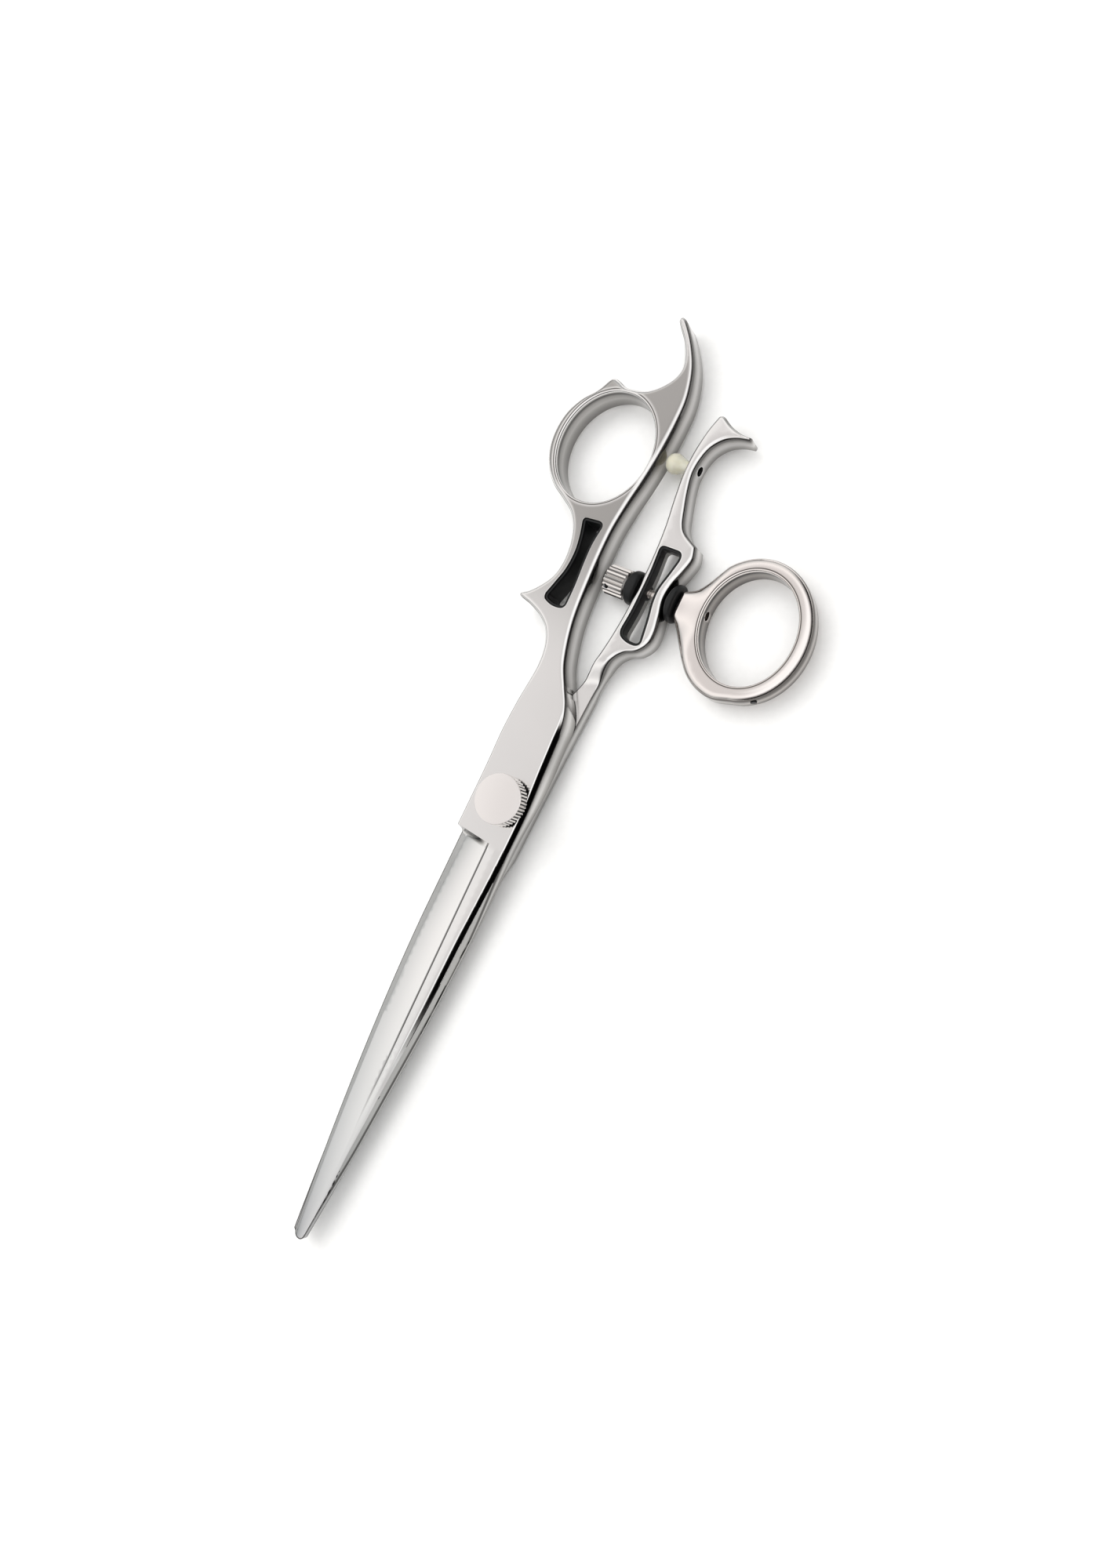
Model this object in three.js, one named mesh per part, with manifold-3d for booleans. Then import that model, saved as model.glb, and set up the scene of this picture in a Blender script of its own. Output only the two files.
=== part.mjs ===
// Swivel-thumb hairdressing shears, closed. Millimetres, +Z up.
// Origin: on the pivot axis, at the underside of the pivot screw's head.
// +Y runs from the pivot to the handles, -Y to the blade tips, and +X is the thumb side.
import * as THREE from 'three';
import { mergeVertices } from 'three/addons/utils/BufferGeometryUtils.js';
import Module from 'manifold-3d';

const wasm = await Module();
wasm.setup();

// Layers of the stack at the pivot
const HEAD_TOP = 0.6;
const LOWER_TOP = 3.8;
const UPPER_UNDER = 4.0;
const UPPER_TOP = 7.2;
const SPRING_TOP = 7.6;
const CLICK_TOP = 8.0;
const DIAL_TOP = 11.0;

// Blades
const PLUNGE_Y = -8.5;
const TIP_Y = -95;
const TIP_TAPER = 2.0;
const BLADE_STATIONS = 12;

// Handles
const FINGER_HANDLE_UNDER = 0.9;
const THUMB_HANDLE_UNDER = 1.2;
const THUMB_HANDLE_TOP = 6.4;
const RELIEF_RADIUS = 18;
const RELIEF_GAP = 0.6;
const ELLIPSE_STEPS = 36;
const FINGER_HOLE = { x: -14.7, y: 70.6, rx: 10.3, ry: 11.5, turn: 0.13 };
const LINER_WALL = 0.45;
const LINER_FIT = 0.03;

// Pivot
const SCREW_R = 2.0;
const SCREW_HEAD_R = 3.3;
const BUSH_BORE_R = 2.08;
const BUSH_OUTER_R = 2.6;
const DIAL_R = 5.0;
const DIAL_TEETH = 44;
const DIAL_CAP_R = 4.35;

// Thumb swivel: its axis runs along X
const SWIVEL_Y = 47.5;
const SWIVEL_Z = 3.8;
const BOLT_R = 0.85;
const SLEEVE_R = 1.45;
const KNOB_R = 3.0;
const KNOB_X = [-2.9, 2.3];
const KNOB_TEETH = 26;
const WASHER_R = 3.4;
const RING = { x: 28.5, y: 47.7, rx: 10.5, ry: 12.15, turn: 0.165, width: 2.7 };
const RING_HEIGHT = 5.2;
const RING_NECK_X = 13.3;

// Silencer bumper: its axis runs along X
const BUMPER_Y = 72.6;
const BUMPER_R = 2.0;
const BUMPER_X = [-2.5, 2.85];

function solidFrom(geometry) {
  const bare = geometry.index ? geometry.toNonIndexed() : geometry.clone();
  bare.deleteAttribute('normal');
  bare.deleteAttribute('uv');
  const merged = mergeVertices(bare, 1e-4);
  const index = merged.index.array;
  const kept = [];
  for (let i = 0; i < index.length; i += 3) {
    const [a, b, c] = [index[i], index[i + 1], index[i + 2]];
    if (a !== b && b !== c && c !== a) kept.push(a, b, c);
  }
  const vertProperties = new Float32Array(merged.attributes.position.array);
  const triVerts = new Uint32Array(kept);
  return new wasm.Manifold(new wasm.Mesh({ numProp: 3, vertProperties, triVerts }));
}

function geometryFrom(solid) {
  const mesh = solid.getMesh();
  const geometry = new THREE.BufferGeometry();
  geometry.setAttribute('position', new THREE.BufferAttribute(new Float32Array(mesh.vertProperties), 3));
  geometry.setIndex(new THREE.BufferAttribute(new Uint32Array(mesh.triVerts), 1));
  geometry.computeVertexNormals();
  return geometry;
}

// A flat plate of a shape from height low to high; edge is how far its faces are rounded back.
function plate(shape, low, high, { edge = 0, depth = edge, steps = 2, curve = 3 } = {}) {
  const geometry = new THREE.ExtrudeGeometry(shape, {
    depth: high - low - 2 * depth,
    bevelEnabled: edge > 0,
    bevelSize: edge,
    bevelOffset: -edge,
    bevelThickness: depth,
    bevelSegments: steps,
    curveSegments: curve,
  });
  geometry.translate(0, 0, low + depth);
  return solidFrom(geometry);
}

// A solid of revolution about Z from [radius, z] corners.
function turned(corners, segments = 28) {
  const profile = corners.map(([r, z]) => new THREE.Vector2(r, z));
  const geometry = new THREE.LatheGeometry(profile, segments);
  geometry.rotateX(Math.PI / 2);
  return solidFrom(geometry);
}

// The same about the X axis, from [radius, x] corners, at the given y and z.
function turnedAlongX(corners, y, z, segments = 24) {
  const profile = corners.map(([r, x]) => new THREE.Vector2(r, x));
  const geometry = new THREE.LatheGeometry(profile, segments);
  geometry.rotateZ(-Math.PI / 2);
  geometry.translate(0, y, z);
  return solidFrom(geometry);
}

function tubeProfile(inner, outer, low, high) {
  return [[inner, low], [outer, low], [outer, high], [inner, high], [inner, low]];
}

function rodProfile(radius, low, high) {
  return [[0, low], [radius, low], [radius, high], [0, high]];
}

function points(pairs) {
  return pairs.map(([x, y]) => new THREE.Vector2(x, y));
}

// Points round an ellipse, grown outwards by the given amount.
function ellipse({ x, y, rx, ry, turn }, grow = 0) {
  const around = [];
  for (let i = 0; i < ELLIPSE_STEPS; i += 1) {
    const angle = (i * 2 * Math.PI) / ELLIPSE_STEPS;
    const point = new THREE.Vector2((rx + grow) * Math.cos(angle), (ry + grow) * Math.sin(angle));
    around.push(point.rotateAround(new THREE.Vector2(), turn).add(new THREE.Vector2(x, y)));
  }
  return around;
}

// The outline moved inwards by a distance, for a lining that follows it.
function inset(shape, distance) {
  const outline = shape.getPoints(3).slice(0, -1);
  const moved = outline.map((here, i) => {
    const before = outline[(i + outline.length - 1) % outline.length];
    const after = outline[(i + 1) % outline.length];
    const along = after.clone().sub(before).normalize();
    return new THREE.Vector2(here.x - along.y * distance, here.y + along.x * distance);
  });
  return new THREE.Shape(moved);
}

// A blade as a box whose columns and stations are moved onto its sections.
// section(t) gives [x, under, top] for each column, t running from the plunge to the tip.
function bladeLoft(section, columns) {
  const geometry = new THREE.BoxGeometry(1, 1, 1, columns - 1, BLADE_STATIONS, 1);
  const position = geometry.attributes.position;
  for (let i = 0; i < position.count; i += 1) {
    const t = 0.5 - position.getY(i);
    const column = Math.round((position.getX(i) + 0.5) * (columns - 1));
    const [x, under, top] = section(t)[column];
    const y = PLUNGE_Y + 0.3 + t * (TIP_Y - PLUNGE_Y - 0.3);
    position.setXYZ(i, x, y, position.getZ(i) < 0 ? under : top);
  }
  return solidFrom(geometry);
}

function curveIn(t, start, power) {
  return t < start ? 0 : ((t - start) / (1 - start)) ** power;
}

function spineX(t) {
  return 4.7 - 4.4 * curveIn(t, 0.15, 1.6);
}

function edgeX(t) {
  return -7.7 + 5.1 * curveIn(t, 0.2, 1.7);
}

// Upper blade: cutting edge on the left, ridge line down the middle, chamfered spine on the right.
function upperSection(t) {
  const top = UPPER_TOP - TIP_TAPER * t;
  const bevel = edgeX(t) + 2.0 - 0.6 * t;
  const ridge = Math.min(0.4, spineX(t) - 1.0);
  const bevelTop = 5.1 - 0.5 * t;
  const hollow = (f) => [
    bevel + f * (ridge - bevel),
    UPPER_UNDER,
    bevelTop + (top - bevelTop) * (0.6 * f + 0.4 * f * f),
  ];
  return [
    [edgeX(t), UPPER_UNDER, UPPER_UNDER + 0.15],
    [bevel, UPPER_UNDER, bevelTop],
    hollow(0.4),
    hollow(0.75),
    [ridge, UPPER_UNDER, top],
    [spineX(t) - 0.5, UPPER_UNDER, top],
    [spineX(t), UPPER_UNDER, top - 0.9 + 0.4 * t],
  ];
}

// Lower blade: the same idea turned over, with its cutting edge on the right.
function lowerSection(t) {
  const under = HEAD_TOP + TIP_TAPER * t;
  const edge = spineX(t) - 0.5;
  const spine = -7.3 + 4.1 * curveIn(t, 0.2, 1.7);
  const ridge = Math.max(-2.6, spine + 1.0);
  const land = LOWER_TOP - 1.2 + 0.6 * t;
  return [
    [spine, under + 0.5, LOWER_TOP],
    [spine + 0.5, under, LOWER_TOP],
    [ridge, under, LOWER_TOP],
    [ridge + 0.55 * (edge - ridge), under + 0.4 * (land - under), LOWER_TOP],
    [edge, land, LOWER_TOP],
  ];
}

// Plan of the finger-side half: shank, spur, finger ring, crescent rest and tang.
function fingerOutline() {
  const shape = new THREE.Shape();
  shape.moveTo(-7.6, PLUNGE_Y);
  shape.lineTo(4.7, PLUNGE_Y);
  shape.splineThru(points([[4.65, 0], [4.1, 8], [3.75, 14], [3.5, 18.4]]));
  shape.splineThru(points([
    [2.3, 21.6], [0.4, 25], [-2.0, 29.4], [-4.0, 36.7], [-4.8, 45], [-5.1, 54.6], [-4.5, 61],
    [-3.5, 67], [-2.8, 73], [-2.5, 79.5], [-2.8, 84.8], [-4.5, 90.4], [-7.1, 94.8], [-9.9, 98.2],
  ]));
  shape.quadraticCurveTo(-11.0, 99.8, -11.8, 99.2);
  shape.quadraticCurveTo(-12.4, 98.4, -11.2, 97.3);
  shape.splineThru(points([
    [-8.8, 94.4], [-7.0, 90.6], [-7.2, 87.9], [-9.2, 85.3], [-12.2, 83.5], [-16.2, 83.2], [-18.4, 84.0],
  ]));
  shape.quadraticCurveTo(-20.4, 85.4, -21.3, 83.2);
  shape.splineThru(points([
    [-22.4, 81.2], [-25.0, 78.5], [-26.9, 74.9], [-27.5, 70.8], [-26.9, 66.8], [-25.0, 63.2],
    [-22.0, 60.4], [-18.4, 58.3], [-15.6, 56.4], [-13.6, 53.6], [-12.5, 50.2], [-12.2, 46.8],
    [-12.8, 43.6], [-14.6, 40.9],
  ]));
  shape.quadraticCurveTo(-16.6, 38.9, -18.0, 38.2);
  shape.quadraticCurveTo(-18.2, 37.5, -17.2, 37.3);
  shape.splineThru(points([[-14.6, 36.6], [-11.6, 35.3], [-9.2, 33.3], [-7.7, 30.2], [-7.2, 26], [-7.6, 19]]));
  shape.splineThru(points([[-7.9, 12], [-7.7, 4], [-7.6, PLUNGE_Y]]));
  shape.holes.push(new THREE.Path(ellipse(FINGER_HOLE)));
  return shape;
}

// Dog-bone slot through the finger handle.
function fingerSlotOutline() {
  const shape = new THREE.Shape();
  shape.moveTo(-8.6, 56.5);
  shape.lineTo(-11.2, 56.3);
  shape.quadraticCurveTo(-11.9, 56.2, -11.8, 55.5);
  shape.splineThru(points([[-10.9, 52.4], [-10.4, 49.2], [-10.6, 45.6], [-11.5, 42.4], [-12.3, 39.9]]));
  shape.quadraticCurveTo(-12.4, 38.8, -11.4, 38.5);
  shape.quadraticCurveTo(-9.8, 37.8, -8.0, 38.2);
  shape.quadraticCurveTo(-7.2, 38.4, -7.1, 39.4);
  shape.splineThru(points([[-7.2, 43.4], [-7.6, 48.4], [-7.7, 52.0], [-7.3, 55.4]]));
  shape.quadraticCurveTo(-7.3, 56.5, -8.6, 56.5);
  return shape;
}

// Hourglass window through the thumb handle.
function thumbWindowOutline() {
  const shape = new THREE.Shape();
  shape.moveTo(9.3, 56.5);
  shape.lineTo(6.4, 56.5);
  shape.quadraticCurveTo(5.4, 56.4, 5.6, 55.2);
  shape.splineThru(points([[5.9, 51.5], [5.95, 47.5], [5.9, 43], [5.6, 39.4]]));
  shape.quadraticCurveTo(5.5, 37.9, 6.9, 37.4);
  shape.quadraticCurveTo(8.2, 36.9, 9.6, 37.1);
  shape.quadraticCurveTo(10.8, 37.4, 10.5, 38.7);
  shape.splineThru(points([[9.9, 42.4], [9.2, 45.8], [9.1, 48.6], [9.8, 51.8], [10.4, 54.6]]));
  shape.quadraticCurveTo(10.6, 56.4, 9.3, 56.5);
  return shape;
}

// Plan of the lower half's thin shank, which passes under the upper half.
function thumbShankOutline() {
  const shape = new THREE.Shape();
  shape.moveTo(-7.3, PLUNGE_Y);
  shape.lineTo(4.2, PLUNGE_Y);
  shape.splineThru(points([[4.5, 4], [4.7, 13], [5.0, 21], [5.2, 29.6]]));
  shape.lineTo(2.5, 29.6);
  shape.splineThru(points([[1.9, 26.5], [0.2, 22.4], [-2.8, 17.6], [-5.3, 11.4], [-6.9, 4], [-7.3, PLUNGE_Y]]));
  return shape;
}

// Plan of the thumb handle: shoulder, waisted frame, bumper saddle and forked horn.
function thumbHandleOutline() {
  const shape = new THREE.Shape();
  shape.moveTo(2.3, 28.2);
  shape.lineTo(5.7, 28.2);
  shape.splineThru(points([[5.9, 30.6], [6.6, 33.3], [8.2, 35.0], [10.6, 36.2], [12.1, 38.2], [12.3, 40.8]]));
  shape.splineThru(points([[11.6, 43.9], [10.85, 47.2], [11.1, 50.2], [12.1, 53.2], [12.8, 56.2], [12.0, 58.6]]));
  shape.splineThru(points([[9.3, 59.9], [7.8, 61.6], [6.6, 64.8], [5.5, 68.4], [4.9, 71.6], [5.2, 74.6]]));
  shape.splineThru(points([[6.1, 77], [7.9, 78.9], [10.2, 79.9], [12.8, 80.2]]));
  shape.lineTo(12.7, 81.2);
  shape.quadraticCurveTo(8.3, 81.0, 5.6, 83.3);
  shape.quadraticCurveTo(5.0, 83.6, 4.6, 83.0);
  shape.splineThru(points([[3.6, 79.6], [2.95, 75], [2.9, 70.5], [3.5, 65.4], [4.3, 60.2], [4.75, 54.5]]));
  shape.splineThru(points([[4.85, 47.5], [4.5, 40.5], [3.7, 34], [2.3, 28.2]]));
  return shape;
}

// Everything the finger half must give up below the contact plane, so that the thumb shank fits.
function reliefOutline() {
  const shape = new THREE.Shape();
  shape.moveTo(-40, -120);
  shape.lineTo(40, -120);
  shape.lineTo(40, 40);
  shape.lineTo(1.9, 40);
  shape.lineTo(1.9 - RELIEF_GAP, 28);
  shape.splineThru(points([[0.2 - RELIEF_GAP, 23], [-3.0 - RELIEF_GAP, 17.7]]));
  shape.absarc(0, 0, RELIEF_RADIUS, 1.78, Math.PI, false);
  shape.lineTo(-40, 0);
  return shape;
}

function pivotBore(radius) {
  return turned(rodProfile(radius, -5, 20));
}

function boreAlongX(radius, from, to, y, z) {
  return turnedAlongX(rodProfile(radius, from, to), y, z, 24);
}

function upperBlade() {
  const outline = fingerOutline();
  outline.holes.push(fingerSlotOutline());
  const body = plate(outline, FINGER_HANDLE_UNDER, UPPER_TOP, { edge: 0.38, depth: 0.6 });
  const relief = plate(reliefOutline(), -5, UPPER_UNDER);
  const shank = body.subtract(relief).subtract(pivotBore(BUSH_OUTER_R + 0.02));
  return shank.add(bladeLoft(upperSection, 7));
}

function lowerBlade() {
  const shank = plate(thumbShankOutline(), HEAD_TOP, LOWER_TOP);
  const window = plate(thumbWindowOutline(), -5, 20);
  const handle = plate(thumbHandleOutline(), THUMB_HANDLE_UNDER, THUMB_HANDLE_TOP, { edge: 0.32, depth: 0.5 });
  return shank
    .add(handle)
    .subtract(window)
    .subtract(pivotBore(SCREW_R + 0.02))
    .subtract(boreAlongX(SLEEVE_R + 0.02, 3, 13, SWIVEL_Y, SWIVEL_Z))
    .subtract(boreAlongX(0.72, 0, 8, BUMPER_Y, SWIVEL_Z))
    .add(bladeLoft(lowerSection, 5));
}

function liner(outline, under, top) {
  const outer = plate(inset(outline, LINER_FIT), under, top);
  const inner = plate(inset(outline, LINER_FIT + LINER_WALL), under - 1, top + 1);
  return outer.subtract(inner);
}

function fingerSlotLiner() {
  return liner(fingerSlotOutline(), FINGER_HANDLE_UNDER + 0.2, UPPER_TOP - 0.3);
}

function thumbWindowLiner() {
  const lining = liner(thumbWindowOutline(), THUMB_HANDLE_UNDER + 0.2, THUMB_HANDLE_TOP - 0.3);
  return lining.subtract(boreAlongX(SLEEVE_R + 0.02, 3, 13, SWIVEL_Y, SWIVEL_Z));
}

function pivotScrew() {
  return turned([[0, 0], [SCREW_HEAD_R - 0.2, 0], [SCREW_HEAD_R, 0.2], [SCREW_HEAD_R, HEAD_TOP],
    [SCREW_R, HEAD_TOP], [SCREW_R, DIAL_TOP - 1.2], [0, DIAL_TOP - 1.2]]);
}

function pivotBushing() {
  return turned(tubeProfile(BUSH_BORE_R, BUSH_OUTER_R, UPPER_UNDER, UPPER_TOP));
}

function rideWasher() {
  return turned(tubeProfile(BUSH_BORE_R, 4.2, LOWER_TOP, UPPER_UNDER - 0.02));
}

function tensionSpring() {
  return turned([[2.3, UPPER_TOP + 0.12], [4.3, UPPER_TOP], [4.3, SPRING_TOP - 0.12],
    [2.3, SPRING_TOP], [2.3, UPPER_TOP + 0.12]]);
}

// A gear-like outline: ridges round a circle, for knurled rims and the click plate's notches.
function ridgedShape(radius, dip, teeth) {
  const corners = [];
  for (let i = 0; i < teeth * 2; i += 1) {
    const angle = (i * Math.PI) / teeth;
    const r = i % 2 ? radius - dip : radius;
    corners.push(new THREE.Vector2(r * Math.cos(angle), r * Math.sin(angle)));
  }
  return new THREE.Shape(corners);
}

function clickPlate() {
  const disc = plate(ridgedShape(4.5, 0.35, 18), SPRING_TOP, CLICK_TOP - 0.02);
  return disc.subtract(pivotBore(2.3));
}

function pivotDial() {
  return plate(ridgedShape(DIAL_R, 0.28, DIAL_TEETH), CLICK_TOP, DIAL_TOP, { edge: 0.2, depth: 0.3, steps: 1 })
    .subtract(turned(rodProfile(BUSH_BORE_R, 0, DIAL_TOP - 1.1)))
    .subtract(turned(rodProfile(DIAL_CAP_R + 0.02, DIAL_TOP - 0.5, 20), 40));
}

function dialCap() {
  return turned([[0, DIAL_TOP - 0.48], [DIAL_CAP_R, DIAL_TOP - 0.48], [DIAL_CAP_R, DIAL_TOP - 0.1],
    [DIAL_CAP_R - 0.1, DIAL_TOP], [0, DIAL_TOP]], 40);
}

function bumper() {
  const [nose, base] = BUMPER_X;
  const profile = [[0, nose]];
  for (let i = 1; i <= 6; i += 1) {
    const angle = (i * Math.PI) / 12;
    profile.push([BUMPER_R * Math.sin(angle), nose + BUMPER_R * (1 - Math.cos(angle))]);
  }
  profile.push([BUMPER_R, base - 1.2], [1.2, base - 0.02], [0, base - 0.02]);
  return turnedAlongX(profile, BUMPER_Y, SWIVEL_Z, 24)
    .subtract(boreAlongX(0.74, base - 2, base + 2, BUMPER_Y, SWIVEL_Z));
}

function bumperStem() {
  return turnedAlongX(rodProfile(0.68, BUMPER_X[1] - 1.95, 4.2), BUMPER_Y, SWIVEL_Z, 16);
}

function swivelBolt() {
  return turnedAlongX(rodProfile(BOLT_R, KNOB_X[0] + 0.8, 18.0), SWIVEL_Y, SWIVEL_Z, 24);
}

function swivelSleeve(from, to) {
  return turnedAlongX(tubeProfile(BOLT_R + 0.06, SLEEVE_R, from, to), SWIVEL_Y, SWIVEL_Z, 24);
}

// The set screw stands on a radius of the knob, up and towards the blades.
function setScrewAxis(geometry) {
  geometry.rotateX(Math.PI / 2);
  geometry.translate(0, -2.15, 0);
  geometry.rotateX(-Math.PI / 4);
  geometry.translate(KNOB_X[0] + 1.15, SWIVEL_Y, SWIVEL_Z);
  return solidFrom(geometry);
}

function adjusterKnob() {
  const rim = new THREE.ExtrudeGeometry(ridgedShape(KNOB_R, 0.22, KNOB_TEETH), {
    depth: KNOB_X[1] - KNOB_X[0] - 0.5,
    bevelThickness: 0.25,
    bevelSize: 0.25,
    bevelOffset: -0.25,
    bevelSegments: 1,
    curveSegments: 1,
  });
  rim.translate(0, 0, 0.25);
  rim.rotateY(Math.PI / 2);
  rim.translate(KNOB_X[0], SWIVEL_Y, SWIVEL_Z);
  return solidFrom(rim)
    .subtract(boreAlongX(BOLT_R + 0.06, KNOB_X[0] + 0.7, 5, SWIVEL_Y, SWIVEL_Z))
    .subtract(setScrewAxis(new THREE.CylinderGeometry(0.56, 0.56, 2.2, 16)));
}

function knobSetScrew() {
  return setScrewAxis(new THREE.CylinderGeometry(0.5, 0.5, 1.1, 16));
}

function knobWasher() {
  return turnedAlongX([[1.0, 2.4], [WASHER_R - 0.4, 2.4], [WASHER_R, 2.8], [WASHER_R, 4.2],
    [WASHER_R - 0.4, 4.6], [1.0, 4.6], [1.0, 2.4]], SWIVEL_Y, SWIVEL_Z);
}

function ringCollar() {
  return turnedAlongX([[1.0, 11.2], [1.6, 11.2], [3.5, 12.3], [3.75, 12.6], [3.5, 13.2],
    [1.0, 13.2], [1.0, 11.2]], SWIVEL_Y, SWIVEL_Z);
}

function thumbRing() {
  const band = new THREE.Shape(ellipse(RING, RING.width / 2));
  band.holes.push(new THREE.Path(ellipse(RING, -RING.width / 2)));
  const neck = new THREE.Shape();
  neck.moveTo(RING_NECK_X, 45.2);
  neck.splineThru(points([[15.5, 42.5], [18.6, 38.7], [21.2, 35.9], [24.2, 34.2], [27.6, 33.6], [31.4, 34.5]]));
  neck.lineTo(RING.x, RING.y);
  neck.lineTo(19.2, 56.2);
  neck.quadraticCurveTo(16.6, 51.9, RING_NECK_X, 50.3);
  neck.lineTo(RING_NECK_X, 45.2);
  const low = SWIVEL_Z - RING_HEIGHT / 2;
  const high = SWIVEL_Z + RING_HEIGHT / 2;
  const hole = plate(new THREE.Shape(ellipse(RING, -RING.width / 2)), low - 1, high + 1);
  return plate(band, low, high, { edge: 1.0, depth: 1.7, steps: 2 })
    .add(plate(neck, low + 0.5, high - 0.5, { edge: 0.6, depth: 0.9 }).subtract(hole))
    .subtract(boreAlongX(BOLT_R + 0.06, 10, 22, SWIVEL_Y, SWIVEL_Z))
    .subtract(ringScrewSolid(0.66, 2.4));
}

// The small screw enters the ring's rim from the blade side and points at its middle.
function ringScrewSolid(radius, length) {
  const geometry = new THREE.CylinderGeometry(radius, radius, length, 16);
  geometry.translate(0, -RING.ry - 0.55, 0);
  geometry.rotateZ(0.52);
  geometry.translate(RING.x, RING.y, SWIVEL_Z + 0.7);
  return solidFrom(geometry);
}

const root = new THREE.Group();

function addPiece(name, solid, color, roughness, metalness) {
  const material = new THREE.MeshStandardMaterial({ color, roughness, metalness });
  const mesh = new THREE.Mesh(geometryFrom(solid), material);
  mesh.name = name;
  root.add(mesh);
}

const STEEL = [0xdedad6, 0.18, 1.0];
const SATIN_STEEL = [0xc9c6c2, 0.35, 1.0];
const BLACK_RUBBER = [0x0c0d0e, 0.6, 0.0];
const NYLON = [0xe8e4d8, 0.5, 0.0];

addPiece('blade_upper', upperBlade(), ...STEEL);
addPiece('blade_lower', lowerBlade(), ...STEEL);
addPiece('finger_slot_liner', fingerSlotLiner(), ...BLACK_RUBBER);
addPiece('thumb_window_liner', thumbWindowLiner(), ...BLACK_RUBBER);
addPiece('pivot_screw', pivotScrew(), ...SATIN_STEEL);
addPiece('pivot_bushing', pivotBushing(), ...NYLON);
addPiece('ride_washer', rideWasher(), ...NYLON);
addPiece('tension_spring', tensionSpring(), ...SATIN_STEEL);
addPiece('click_plate', clickPlate(), ...SATIN_STEEL);
addPiece('pivot_dial', pivotDial(), ...SATIN_STEEL);
addPiece('dial_cap', dialCap(), ...SATIN_STEEL);
addPiece('bumper', bumper(), 0xe6dfb4, 0.4, 0.0);
addPiece('bumper_stem', bumperStem(), ...SATIN_STEEL);
addPiece('swivel_bolt', swivelBolt(), ...SATIN_STEEL);
addPiece('swivel_sleeve_inner', swivelSleeve(4.9, 6.45), ...NYLON);
addPiece('swivel_sleeve_outer', swivelSleeve(8.6, 11.1), ...NYLON);
addPiece('adjuster_knob', adjusterKnob(), ...SATIN_STEEL);
addPiece('knob_set_screw', knobSetScrew(), 0x2a2a2b, 0.5, 1.0);
addPiece('knob_washer', knobWasher(), ...BLACK_RUBBER);
addPiece('ring_collar', ringCollar(), ...BLACK_RUBBER);
addPiece('thumb_ring', thumbRing(), ...STEEL);
addPiece('ring_screw', ringScrewSolid(0.6, 1.6), 0x2a2a2b, 0.5, 1.0);

export default root;
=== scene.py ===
# Swivel-thumb hairdressing shears, closed and lying on a table, drawn over their plain solids.
# Same frame as the solids: origin on the pivot axis, +Y to the handles, +X to the thumb ring, +Z up.
import math

import bmesh
import bpy
import numpy as np
from mathutils import Matrix, Quaternion, Vector
from mathutils.geometry import delaunay_2d_cdt
from mathutils.kdtree import KDTree


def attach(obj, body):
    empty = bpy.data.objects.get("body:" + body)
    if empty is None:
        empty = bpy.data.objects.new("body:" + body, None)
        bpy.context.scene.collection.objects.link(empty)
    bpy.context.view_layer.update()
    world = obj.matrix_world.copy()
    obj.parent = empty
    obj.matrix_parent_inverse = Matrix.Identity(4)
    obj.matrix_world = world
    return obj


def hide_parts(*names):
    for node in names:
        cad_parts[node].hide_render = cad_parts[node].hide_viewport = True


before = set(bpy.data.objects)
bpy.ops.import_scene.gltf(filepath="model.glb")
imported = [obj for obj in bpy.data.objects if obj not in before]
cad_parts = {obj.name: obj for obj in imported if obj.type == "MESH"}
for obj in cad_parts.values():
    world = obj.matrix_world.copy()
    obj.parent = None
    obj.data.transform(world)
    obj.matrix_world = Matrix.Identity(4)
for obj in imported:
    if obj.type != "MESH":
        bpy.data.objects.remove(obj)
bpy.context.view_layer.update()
MM = 0.001  # the sections below give their sizes in millimetres


# ---------------------------------------------------------------- table, light and camera
# A sheet of white card under the shears, in a room that is bright overhead and dim at the sides.
# The dim side of the room is what draws the thin dark lines on every polished edge.

def srgb(code):
    """A colour from its hex code, as linear red, green, blue and alpha."""
    parts = [int(code[i:i + 2], 16) / 255 for i in (1, 3, 5)]
    return [c / 12.92 if c <= 0.04045 else ((c + 0.055) / 1.055) ** 2.4 for c in parts] + [1.0]


def add(tree, kind, settings=None, inputs=None):
    """One node with its settings; each input is given a value or linked from a socket."""
    node = tree.nodes.new(kind)
    for name, value in (settings or {}).items():
        setattr(node, name, value)
    for name, value in (inputs or {}).items():
        if isinstance(value, bpy.types.NodeSocket):
            tree.links.new(value, node.inputs[name])
        else:
            node.inputs[name].default_value = value
    return node


def ramp(tree, factor, stops):
    """A colour ramp of (place, hex code) stops, read at a socket."""
    node = add(tree, "ShaderNodeValToRGB", None, {"Fac": factor})
    elements = node.color_ramp.elements
    while len(elements) < len(stops):
        elements.new(0.5)
    for element, (place, code) in zip(elements, stops):
        element.position = place
        element.color = srgb(code)
    return node.outputs["Color"]


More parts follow.
